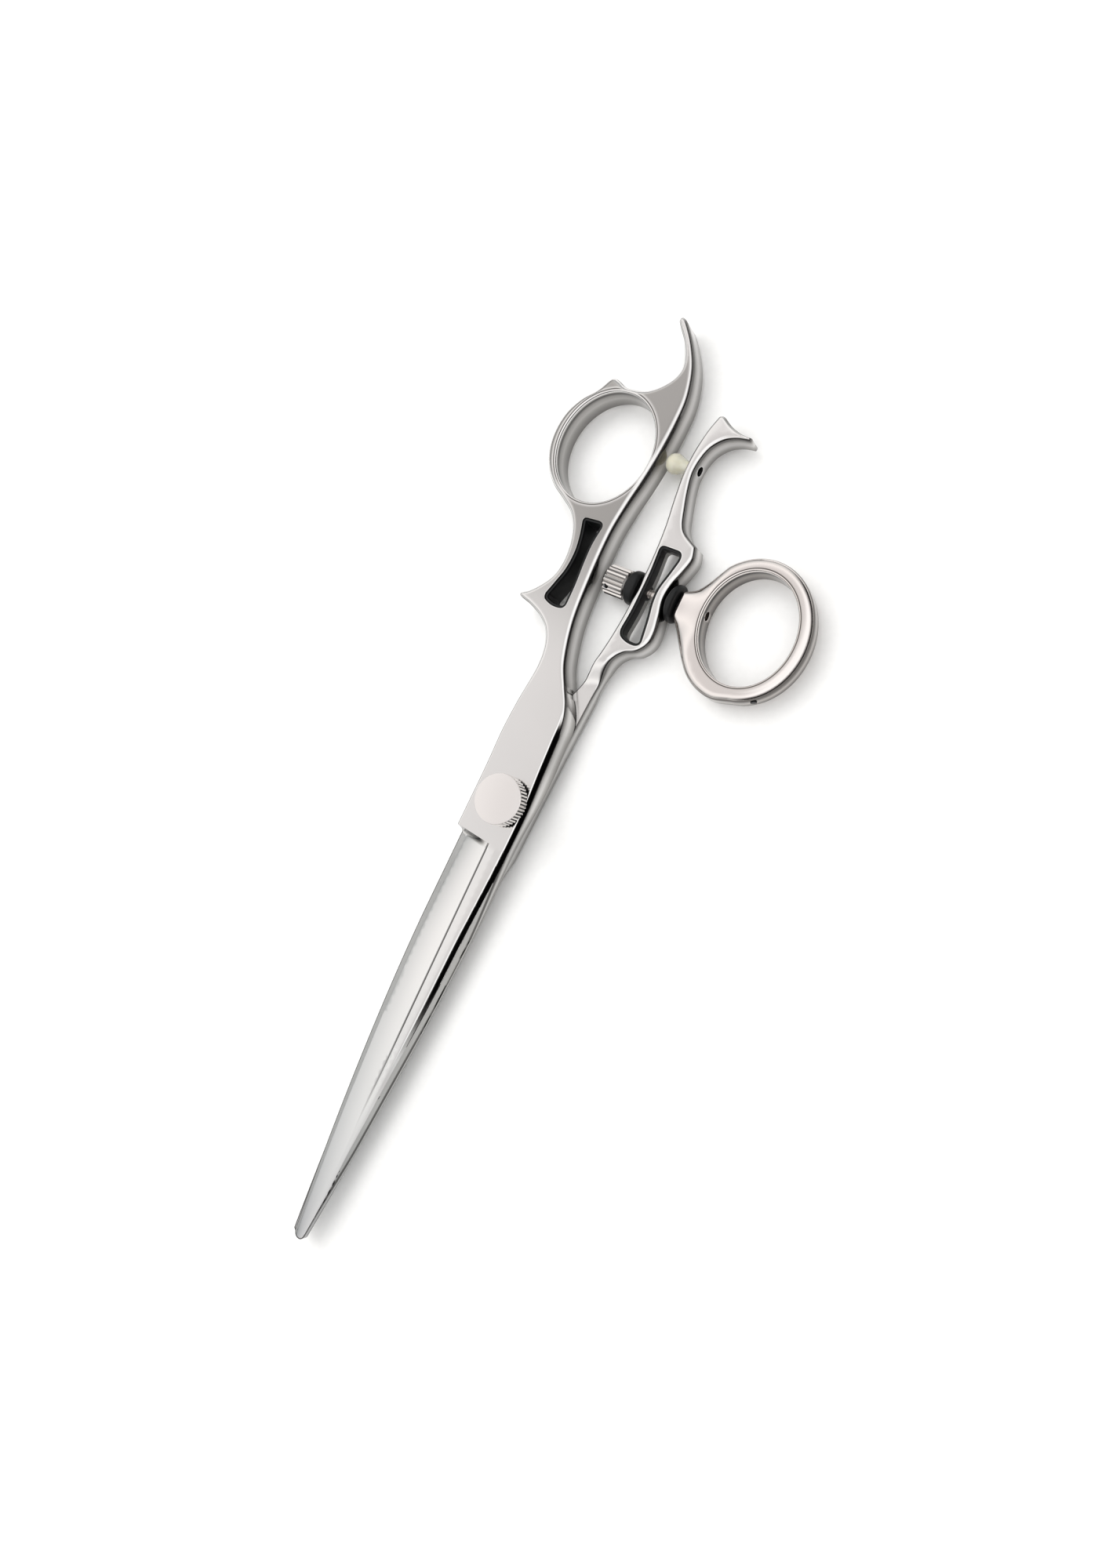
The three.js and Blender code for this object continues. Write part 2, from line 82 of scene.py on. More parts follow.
def studio():
    """The room as light: one ramp of height for the window side and one for the dark side.
    Looked at directly it is a plain pale backdrop."""
    world = bpy.data.worlds.new("studio")
    world.use_nodes = True
    tree = world.node_tree
    tree.nodes.clear()
    direction = add(tree, "ShaderNodeTexCoord").outputs["Generated"]
    axes = add(tree, "ShaderNodeSeparateXYZ", None, {0: direction})
    bright_side = ramp(tree, axes.outputs["Z"], [
        (0.0, "#7c7e7e"), (0.08, "#959797"), (0.26, "#bdbebd"), (0.45, "#e0dfde"), (0.68, "#f8f6f4"),
        (0.82, "#e8e6e5"), (0.89, "#d3d0cf"), (0.95, "#cfcdcc"), (1.0, "#ffffff")])
    dark_side = ramp(tree, axes.outputs["Z"], [
        (0.0, "#141314"), (0.35, "#1e1d1e"), (0.55, "#a8a6a5"), (0.72, "#ffffff"), (1.0, "#ffffff")])
    side = add(tree, "ShaderNodeMapRange", {"interpolation_type": "SMOOTHSTEP"}, {
        "Value": axes.outputs["X"], "From Min": -0.25, "From Max": 0.3})
    room = add(tree, "ShaderNodeMix", {"data_type": "RGBA"}, {
        0: side.outputs["Result"], 6: bright_side, 7: dark_side})
    lighting = add(tree, "ShaderNodeBackground", None, {"Color": room.outputs[2], "Strength": 1.3})
    backdrop = add(tree, "ShaderNodeBackground", None, {"Color": srgb("#f1f1f0"), "Strength": 1.0})
    seen = add(tree, "ShaderNodeLightPath").outputs["Is Camera Ray"]
    surface = add(tree, "ShaderNodeMixShader", None, {
        0: seen, 1: lighting.outputs["Background"], 2: backdrop.outputs["Background"]})
    add(tree, "ShaderNodeOutputWorld", None, {"Surface": surface.outputs["Shader"]})
    return world


def new_material(name, **inputs):
    """A Principled material with constants on its own sockets; returns it with its tree and shader."""
    material = bpy.data.materials.new(name)
    material.use_nodes = True
    tree = material.node_tree
    shader = tree.nodes["Principled BSDF"]
    for socket, value in inputs.items():
        shader.inputs[socket.replace("_", " ")].default_value = value
    return material, tree, shader


def white_card():
    """Matt coated card: white, faintly mottled by its fibres, 1.5 mm across."""
    material, tree, shader = new_material("coated_white_card", Roughness=0.6)
    place = add(tree, "ShaderNodeTexCoord").outputs["Object"]
    fibres = add(tree, "ShaderNodeTexNoise", None, {"Vector": place, "Scale": 1 / (1.5 * MM)})
    colour = ramp(tree, fibres.outputs["Fac"], [(0.3, "#fafaf9"), (0.7, "#fdfdfc")])
    tree.links.new(colour, shader.inputs["Base Color"])
    return material


scene = bpy.context.scene
scene.world = studio()
scene.view_settings.view_transform = "Standard"

bpy.ops.mesh.primitive_plane_add(size=6.0)
table = bpy.context.object
table.name = "table"
table.data.materials.append(white_card())

softbox = bpy.data.lights.new("softbox", "AREA")
softbox.shape = "DISK"
softbox.size = 0.6
softbox.energy = 2.2
softbox_stand = bpy.data.objects.new("softbox", softbox)
softbox_stand.location = (-0.26, 0.16, 0.72)
softbox_stand.rotation_euler = (-softbox_stand.location).to_track_quat("-Z", "Y").to_euler()
softbox_stand.visible_glossy = False
scene.collection.objects.link(softbox_stand)

lens = bpy.data.cameras.new("camera")
lens.lens = 26.656
lens.clip_start = 0.01
camera = bpy.data.objects.new("camera", lens)
camera.location = (0.106675, 0.013503, 0.201909)
looks_at = Vector((0.004007, 0.006941, 0.0))
roll = Quaternion((0, 0, 1), math.radians(-67.479))
camera.rotation_mode = "QUATERNION"
camera.rotation_quaternion = (looks_at - camera.location).to_track_quat("-Z", "Y") @ roll
scene.collection.objects.link(camera)
scene.camera = camera


# ---------------------------------------------------------------- thumb half
# One forging of stainless steel: the lower blade, a thin shank that passes under the other half,
# and the thumb handle with its window, bumper saddle and forked horn. Ground, then polished.

def catmull_rom(stops, spacing):
    """Points along a smooth curve through the stops, about spacing apart, without the first."""
    stops = np.array(stops, float)
    padded = np.vstack([stops[:1], stops, stops[-1:]])
    path = []
    for a, b, c, d in zip(padded, padded[1:], padded[2:], padded[3:]):
        count = max(1, math.ceil(np.linalg.norm(c - b) / spacing))
        t = (np.arange(1, count + 1) / count)[:, None]
        path.append(0.5 * (2 * b + (c - a) * t + (2 * a - 5 * b + 4 * c - d) * t**2
                           + (3 * b - a - 3 * c + d) * t**3))
    return np.vstack(path)


def trace(start, *legs, spacing=0.25):
    """A closed outline: straight legs, curves through stops, and bends of one corner point."""
    path = [np.array([start], float)]
    for kind, *stops in legs:
        here = tuple(path[-1][-1])
        if kind == "line":
            for stop in stops:
                count = max(1, math.ceil(math.dist(here, stop) / spacing))
                t = (np.arange(1, count + 1) / count)[:, None]
                path.append(np.array(here) * (1 - t) + np.array(stop) * t)
                here = stop
        elif kind == "curve":
            path.append(catmull_rom([here, *stops], spacing))
        else:
            corner, end = stops
            t = np.linspace(0, 1, 7)[1:, None]
            path.append((1 - t) ** 2 * np.array(here) + 2 * t * (1 - t) * np.array(corner)
                        + t**2 * np.array(end))
    loop = np.vstack(path)
    closed = np.linalg.norm(loop[0] - loop[-1]) < 1e-6
    return loop[:-1] if closed else loop


def circle(x, y, radius, count=72):
    angle = np.arange(count) * 2 * np.pi / count
    return np.stack([x + radius * np.cos(angle), y + radius * np.sin(angle)], 1)


def area_of(loop):
    x, y = loop.T
    return 0.5 * np.sum(x * np.roll(y, -1) - np.roll(x, -1) * y)


def depth_in(loop, points):
    """How far inside a closed loop each point is, negative outside; the loop is evenly spaced."""
    turn = 1 if area_of(loop) > 0 else -1
    tree = KDTree(len(loop))
    for i, (x, y) in enumerate(loop):
        tree.insert((x, y, 0), i)
    tree.balance()
    near = np.array([tree.find((x, y, 0))[1] for x, y in points])
    side = np.roll(loop, -1, 0) - loop
    normal = turn * np.stack([-side[:, 1], side[:, 0]], 1) / np.linalg.norm(side, axis=1)[:, None]
    depth = np.full(len(points), np.inf)
    for first in ((near - 1) % len(loop), near):
        offset = points - loop[first]
        t = np.clip(np.sum(offset * side[first], 1) / np.sum(side[first] ** 2, 1), 0, 1)
        gap = offset - t[:, None] * side[first]
        facing = normal[first] + (t >= 1)[:, None] * normal[(first + 1) % len(loop)]
        facing += (t <= 0)[:, None] * normal[first - 1]
        signed = np.linalg.norm(gap, axis=1) * np.where(np.sum(gap * facing, 1) < 0, -1, 1)
        depth = np.where(np.abs(signed) < np.abs(depth), signed, depth)
    return depth


def plan_of(loops, creases, insets, pitch):
    """Points and triangles that fill the first loop apart from the holes, which are the others.
    Points stand on the loops, on rings inset from them, on the creases and on a grid between."""
    layers, edges, count = [], [], 0
    for loop in loops:
        edges += [(count + i, count + (i + 1) % len(loop)) for i in range(len(loop))]
        layers.append(loop)
        count += len(loop)
    rings = []
    for inset in insets:
        for loop in loops:
            along = np.roll(loop, -1, 0) - np.roll(loop, 1, 0)
            along /= np.linalg.norm(along, axis=1)[:, None]
            rings.append(loop + inset * np.stack([-along[:, 1], along[:, 0]], 1))
    low, high = loops[0].min(0), loops[0].max(0)
    across = np.arange(low[0], high[0], pitch)
    up = np.arange(low[1], high[1], pitch * math.sqrt(0.75))
    grid = np.stack(np.meshgrid(across, up), 2)
    grid[1::2, :, 0] += pitch / 2
    grid = grid.reshape(-1, 2)
    loose = np.vstack([*rings, grid])
    reach = np.concatenate([*[np.full(len(ring), 0.97 * inset) for ring, inset in
                              zip(rings, np.repeat(insets, len(loops)))],
                            np.full(len(grid), insets[-1] + 0.35 * pitch)])
    clear = np.min([abs(depth_in(loop, loose)) for loop in loops], 0) >= reach
    layers.append(loose[clear])
    count += int(clear.sum())
    for crease in creases:
        edges += [(count + i, count + i + 1) for i in range(len(crease) - 1)]
        layers.append(crease)
        count += len(crease)
    points = [Vector(point) for point in np.vstack(layers)]
    filled = delaunay_2d_cdt(points, edges, [], 0, 1e-5, False)
    plan, faces = np.array(filled[0], float), np.array(filled[2])
    middle = plan[faces].mean(1)
    kept = depth_in(loops[0], middle) > 0
    for hole in loops[1:]:
        kept &= depth_in(hole, middle) < 0
    used, faces = np.unique(faces[kept], return_inverse=True)
    return plan[used], faces.reshape(-1, 3)


def forging(name, loops, creases, top, under, insets, pitch, painted_shade=None, wall=1.0,
            flare=None):
    """A closed solid over an outline and its holes.

    top and under give a height for each point from its x, y and its distance to each loop, and
    painted_shade gives how much painted shade darkens the top there, from 0 for none to 1 for black.
    Three more rows of points go down the walls, which are painted darker as painted shade: wall is how
    much.
    flare is how far in X the underside reaches past the top.
    """
    loops = [loop if (area_of(loop) > 0) == (i == 0) else loop[::-1] for i, loop in enumerate(loops)]
    plan, faces = plan_of(loops, creases, insets, pitch)
    away = [abs(depth_in(loop, plan)) for loop in loops]
    x, y = plan.T
    upper, lower = top(x, y, away), under(x, y, away)
    sides = {(int(a), int(b)) for f in faces for a, b in zip(f, np.roll(f, -1))}
    rim = [(a, b) for a, b in sides if (b, a) not in sides]
    n = len(plan)
    on_rim = np.array(sorted(a for a, _ in rim))
    columns = {a: [a] + [2 * n + row * len(on_rim) + i for row in range(3)] + [a + n]
               for i, a in enumerate(on_rim.tolist())}
    walls = [(columns[a][i], columns[a][i + 1], columns[b][i + 1], columns[b][i])
             for a, b in rim for i in range(4)]
    high = np.column_stack([plan, upper])
    low = np.column_stack([x + (flare(x, y, away) if flare else 0), y, lower])
    rows = [(1 - share) * high[on_rim] + share * low[on_rim] for share in (0.13, 0.3, 0.5)]
    verts = np.vstack([high, low, *rows]) * MM
    painted_dark = np.zeros(n) if painted_shade is None else painted_shade(x, y, away)
    # A painted dark line along the top's outer edge, and painted shade on the walls and round the
    # underside's rim, darker still inside the first hole.
    painted_dark = np.maximum(painted_dark, 0.6 * (away[0] < 0.17))
    below = np.zeros(n)
    below[on_rim] = 0.6 * wall
    in_hole = np.where(away[1][on_rim] < 0.01, 1.7, 1.0)
    mesh = bpy.data.meshes.new(name)
    mesh.from_pydata(verts.tolist(), [], faces.tolist() + (faces[:, ::-1] + n).tolist() + walls)
    mesh.update()
    attribute = mesh.attributes.new("painted_shade", "FLOAT", "POINT")
    down_wall = wall * np.concatenate([in_hole * share for share in (0.5, 0.24, 0.16)])
    attribute.data.foreach_set("value", np.concatenate([painted_dark, below, down_wall]))
    piece = bpy.data.objects.new(name, mesh)
    scene.collection.objects.link(piece)
    return piece


def smooth(piece, angle=32):
    """Smooth shading that keeps the corners sharper than the angle."""
    piece.data.shade_smooth()
    piece.data.set_sharp_from_angle(angle=math.radians(angle))


def rod(radius, start, end, sides=48):
    """A loose cylinder between two points, for drilling holes."""
    start, end = Vector(start) * MM, Vector(end) * MM
    mesh = bpy.data.meshes.new("drill")
    tool = bmesh.new()
    bmesh.ops.create_cone(tool, cap_ends=True, segments=sides, radius1=radius * MM,
                          radius2=radius * MM, depth=(end - start).length)
    tool.to_mesh(mesh)
    tool.free()
    # The drill leaves a nearly black painted shade on the walls of its hole.
    hole_shade = mesh.attributes.new("painted_shade", "FLOAT", "POINT")
    hole_shade.data.foreach_set("value", [0.85] * len(mesh.vertices))
    turn = (end - start).to_track_quat("Z", "Y").to_matrix().to_4x4()
    mesh.transform(turn)
    mesh.transform(Matrix.Translation((start + end) / 2))
    drill = bpy.data.objects.new("drill", mesh)
    scene.collection.objects.link(drill)
    return drill


def baked(piece):
    """Replaces a piece's mesh by what its modifiers make of it."""
    graph = bpy.context.evaluated_depsgraph_get()
    mesh = bpy.data.meshes.new_from_object(piece.evaluated_get(graph))
    piece.modifiers.clear()
    old = piece.data
    mesh.name = piece.name
    piece.data = mesh
    bpy.data.meshes.remove(old)
    return piece


def drilled(piece, *drills):
    """Cuts each drill's hole in the piece and throws the drill away."""
    for drill in drills:
        cut = piece.modifiers.new("hole", "BOOLEAN")
        cut.solver = "MANIFOLD"
        cut.operation = "DIFFERENCE"
        cut.object = drill
    baked(piece)
    for drill in drills:
        bpy.data.objects.remove(drill)
    return piece


def round_over(away, radius, depth=None):
    """How far an edge's rounding drops at a distance in from the edge."""
    depth = radius if depth is None else depth
    share = 1 - np.clip(away / radius, 0, 1)
    return depth * (1 - np.sqrt(1 - share**2))


def step(value, low, high):
    """0 below low, 1 above high, and a smooth slope between."""
    t = np.clip((value - low) / (high - low), 0, 1)
    return t * t * (3 - 2 * t)


PLUNGE_Y = -8.5  # where the ground blades begin
TIP_Y = -95.0
SWIVEL_Y = 47.5
BUMPER_Y = 72.6
BORE_Z = 3.8  # height of the bores for the bolt and the bumper


def down_blade(y):
    """0 at the plunge and 1 at the tip."""
    return np.clip((PLUNGE_Y - y) / (PLUNGE_Y - TIP_Y), 0, 1)


def taper(t, start, power):
    return (np.clip(t - start, 0, 1) / (1 - start)) ** power


def spine_x(t):
    return 4.7 - 4.4 * taper(t, 0.15, 1.6)


def edge_x(t):
    return -7.7 + 5.1 * taper(t, 0.2, 1.7)


def blade_side(edge, high, low, spacing=0.3):
    """Points down one side of a blade, from a height on the Y axis to a lower one."""
    y = np.linspace(high, low, math.ceil(abs(high - low) / spacing))
    return [(x, v) for x, v in zip(edge(down_blade(y)), y)]


def lower_spine_x(t):
    return -7.3 + 4.1 * taper(t, 0.2, 1.7)


def lower_edge_x(t):
    return spine_x(t) - 0.5


def lower_ridge_x(t):
    return np.maximum(-2.6, lower_spine_x(t) + 1.0)


def thumb_half():
    left = blade_side(lower_spine_x, PLUNGE_Y, -94.3)
    right = blade_side(lower_edge_x, -94.3, PLUNGE_Y)
    outline = trace(
        left[0], ("line", *left[1:]), ("bend", (-2.6, -95.0), (-1.6, -95.0)),
        ("bend", (-0.3, -95.0), right[0]), ("line", *right[1:]),
        ("curve", (4.5, 4), (4.7, 13), (5.0, 21), (5.3, 27.0), (5.75, 30.0), (6.6, 33.1), (8.2, 35.0),
         (10.5, 36.2), (12.0, 38.3), (12.2, 40.8), (11.6, 43.9), (10.85, 47.2), (11.1, 50.2),
         (12.1, 53.2), (12.75, 56.0), (12.1, 58.4)),
        ("curve", (9.3, 59.9), (7.8, 61.6), (6.6, 64.8), (5.5, 68.4), (4.9, 71.6), (5.2, 74.6),
         (6.1, 77), (7.9, 78.9), (10.2, 79.9), (12.5, 80.2)),
        ("bend", (12.8, 80.3), (12.6, 80.9)),
        ("curve", (10.4, 81.1), (8.0, 81.9), (6.0, 83.1)), ("bend", (5.1, 83.6), (4.6, 83.0)),
        ("curve", (3.6, 79.6), (2.95, 75), (2.9, 70.5), (3.5, 65.4), (4.3, 60.2), (4.75, 54.5),
         (4.85, 47.5), (4.5, 40.5), (3.7, 34), (2.5, 28.4), (1.9, 26.5), (0.2, 22.4), (-2.8, 17.6),
         (-5.3, 11.4), (-6.9, 4), left[0]))
    window = thumb_window(0)
    pivot = circle(0, 0, 2.02)

    def top(x, y, away):
        outer, in_window, _ = away
        rise = step(y - 0.4 * (x - 3), 26.2, 32.0)  # the ramp up from under the other half
        radius = 0.12 + 0.75 * step(y, 24, 33)
        height = 3.8 + 2.6 * rise
        land = np.where(y < PLUNGE_Y - 0.3, 0.0, round_over(outer, radius))
        return height - land - round_over(in_window, 0.3)

    def under(x, y, away):
        outer, in_window, _ = away
        t = down_blade(y)
        floor = 0.6 + 2.0 * t
        spine, edge, ridge = lower_spine_x(t), lower_edge_x(t), lower_ridge_x(t)
        land = 3.8 - 1.2 + 0.6 * t
        share = np.clip((x - ridge) / (edge - ridge), 0, 1)
        blade = floor + (land - floor) * (0.72 * share + 0.28 * share**2)
        blade += 0.5 * np.clip(1 - (x - spine) / 0.5, 0, 1)
        body = 0.6 + 0.6 * step(y, 24, 27) + round_over(outer, 0.45) + round_over(in_window, 0.3)
        ground = step(PLUNGE_Y - y, 0.3, 6.5)
        return (1 - ground) * np.minimum(body, 3.6) + ground * blade

    ridge_line = np.array(blade_side(lower_ridge_x, PLUNGE_Y - 0.6, -93.5))
    plunge = np.array([(x, PLUNGE_Y - 0.3) for x in np.linspace(-7.0, 3.9, 30)])
    return forging("thumb_half", [outline, window, pivot], [ridge_line, plunge],
                   top, under, (0.02, 0.08, 0.16, 0.28, 0.42, 0.6, 0.9), 1.1, wall=0.7)


def thumb_window(inset):
    """The hourglass window's outline, drawn in by an inset."""
    loop = trace(
        (9.3, 56.5), ("line", (6.4, 56.5)), ("bend", (5.4, 56.4), (5.6, 55.2)),
        ("curve", (5.9, 51.5), (5.95, 47.5), (5.9, 43), (5.6, 39.4)),
        ("bend", (5.5, 37.9), (6.9, 37.4)),
        ("bend", (8.2, 36.9), (9.6, 37.1)), ("bend", (10.8, 37.4), (10.5, 38.7)),
        ("curve", (9.9, 42.4), (9.2, 45.8), (9.1, 48.6), (9.8, 51.8), (10.4, 54.6)),
        ("bend", (10.6, 56.4), (9.3, 56.5)))
    return drawn_in(loop, inset)


def drawn_in(loop, inset):
    """A closed loop moved inwards."""
    along = np.roll(loop, -1, 0) - np.roll(loop, 1, 0)
    along /= np.linalg.norm(along, axis=1)[:, None]
    side = 1 if area_of(loop) > 0 else -1
    return loop + side * inset * np.stack([-along[:, 1], along[:, 0]], 1)


def stainless(name, tones):
    """Stainless steel, ground and then buffed: a bright, very slightly soft reflection.
    The buff leaves lines 0.15 mm apart along the blades and a faint haze a few millimetres wide.
    The painted_shade attribute darkens it with painted shade and painted dark reflections. tones go
    along Y, from the blade tips to the tang."""
    material, tree, shader = new_material(name, Metallic=1.0)
    place = add(tree, "ShaderNodeTexCoord").outputs["Object"]
    painted_shade = add(tree, "ShaderNodeAttribute", {"attribute_name": "painted_shade"}).outputs["Fac"]
    painted_dark = ramp(tree, painted_shade, [
        (0.0, "#ffffff"), (0.3, "#bbbab8"), (0.65, "#626160"), (1.0, "#1c1b1a")])
    axes = add(tree, "ShaderNodeSeparateXYZ", None, {0: place})
    along = add(tree, "ShaderNodeMapRange", None, {
        "Value": axes.outputs["Y"], "From Min": -95 * MM, "From Max": 99 * MM})
    colour = add(tree, "ShaderNodeMix", {"data_type": "RGBA", "blend_type": "MULTIPLY"}, {
        0: 1.0, 6: ramp(tree, along.outputs["Result"], tones), 7: painted_dark})
    tree.links.new(colour.outputs[2], shader.inputs["Base Color"])
    haze = add(tree, "ShaderNodeTexNoise", None, {
        "Vector": place, "Scale": 1 / (9 * MM), "Detail": 3.0})
    roughness = add(tree, "ShaderNodeMapRange", None, {
        "Value": haze.outputs["Fac"], "From Min": 0.3, "From Max": 0.7, "To Min": 0.12, "To Max": 0.18})
    tree.links.new(roughness.outputs["Result"], shader.inputs["Roughness"])
    lines = add(tree, "ShaderNodeMapping", None, {
        "Vector": place, "Scale": (1 / (0.15 * MM), 1 / (7 * MM), 1 / (0.15 * MM))})
    buffing = add(tree, "ShaderNodeTexNoise", None, {"Vector": lines.outputs["Vector"], "Scale": 1.0})
    bump = add(tree, "ShaderNodeBump", None, {
        "Height": buffing.outputs["Fac"], "Strength": 0.02, "Distance": 0.01 * MM})
    tree.links.new(bump.outputs["Normal"], shader.inputs["Normal"])
    return material


# The blade tips are painted darker than the rest, a painted shade.
polished = stainless("polished_stainless_steel", [
    (0.0, "#c0c1c3"), (0.14, "#d3d4d4"), (0.34, "#e5e4e3"), (1.0, "#e2e0df")])
lower_half = thumb_half()
lower_half.data.materials.append(polished)
drilled(lower_half, rod(1.47, (3, SWIVEL_Y, BORE_Z), (14, SWIVEL_Y, BORE_Z)),
        rod(0.72, (0, BUMPER_Y, BORE_Z), (4, BUMPER_Y, BORE_Z)),
        rod(0.95, (3.7, BUMPER_Y, BORE_Z), (8, BUMPER_Y, BORE_Z)))
smooth(lower_half)
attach(lower_half, "lower")
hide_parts("blade_lower")


# ---------------------------------------------------------------- finger half
# The other forging: upper blade, broad shank, spur, slot, finger ring, crescent rest and tang.
# Its shank is milled away underneath where the thumb half passes.

FINGER_HOLE = (-14.7, 70.6, 10.3, 11.5, 0.13)  # middle, half axes and turn of the ring's hole


def ellipse(x, y, rx, ry, turn, grow=0.0, count=240):
    angle = np.arange(count) * 2 * np.pi / count
    across, up = (rx + grow) * np.cos(angle), (ry + grow) * np.sin(angle)
    return np.stack([x + across * np.cos(turn) - up * np.sin(turn),
                     y + across * np.sin(turn) + up * np.cos(turn)], 1)


def finger_slot(inset):
    """The dog-bone slot's outline, drawn in by an inset."""
    loop = trace(
        (-8.6, 56.5), ("line", (-11.2, 56.3)), ("bend", (-11.9, 56.2), (-11.8, 55.5)),
        ("curve", (-10.9, 52.4), (-10.4, 49.2), (-10.6, 45.6), (-11.5, 42.4), (-12.3, 39.9)),
        ("bend", (-12.4, 38.8), (-11.4, 38.5)), ("bend", (-9.8, 37.8), (-8.0, 38.2)),
        ("bend", (-7.2, 38.4), (-7.1, 39.4)),
        ("curve", (-7.2, 43.4), (-7.6, 48.4), (-7.7, 52.0), (-7.3, 55.4)),
        ("bend", (-7.3, 56.5), (-8.6, 56.5)))
    return drawn_in(loop, inset)


def ridge_x(t):
    return np.minimum(0.4, spine_x(t) - 1.0 + 0.7 * t)


def bevel_x(t):
    return edge_x(t) + 2.0 - 1.1 * t


def side_width(y):
    """How wide the sloping ground side of the upper blade is, seen from above."""
    t = down_blade(y)
    return step(-y, 6, 32) * (1 - 0.45 * t) * (1 - step(t, 0.75, 0.95))


def plunge_line(x):
    return PLUNGE_Y - 0.06 * (x + 2)


def finger_outline():
    left = blade_side(edge_x, PLUNGE_Y, -94.0)
    right = blade_side(spine_x, -94.0, PLUNGE_Y)
    return trace(
        left[0], ("line", *left[1:]), ("bend", (-2.5, -95.0), (-1.3, -95.0)),
        ("bend", (0.1, -95.0), right[0]), ("line", *right[1:]),
        ("curve", (4.65, 0), (4.1, 8), (3.75, 14), (3.45, 18.4), (2.4, 21.6), (0.4, 25), (-2.0, 29.4),
         (-4.0, 36.7), (-4.8, 45), (-5.1, 54.6), (-4.5, 61), (-3.5, 67), (-2.8, 73), (-2.5, 79.5),
         (-2.8, 84.8), (-4.5, 90.4), (-7.1, 94.8), (-9.9, 98.2), (-11.0, 99.1), (-11.8, 99.2),
         (-12.05, 98.5), (-11.2, 97.3), (-8.8, 94.4), (-7.0, 90.6), (-7.2, 87.9), (-9.2, 85.3),
         (-12.2, 83.5), (-16.2, 83.2), (-18.4, 84.0), (-19.6, 84.35), (-20.7, 83.9), (-22.4, 81.2),
         (-25.0, 78.5), (-26.9, 74.9), (-27.5, 70.8), (-26.9, 66.8), (-25.0, 63.2), (-22.0, 60.4),
         (-18.4, 58.3), (-15.6, 56.4), (-13.6, 53.6), (-12.5, 50.2), (-12.2, 46.8), (-12.8, 43.6),
         (-14.6, 40.9), (-16.4, 39.1), (-17.7, 38.3), (-17.95, 37.75), (-17.2, 37.3), (-14.6, 36.6),
         (-11.6, 35.3), (-9.2, 33.3), (-7.7, 30.2), (-7.2, 26), (-7.6, 19), (-7.9, 12), (-7.7, 4),
         left[0]))


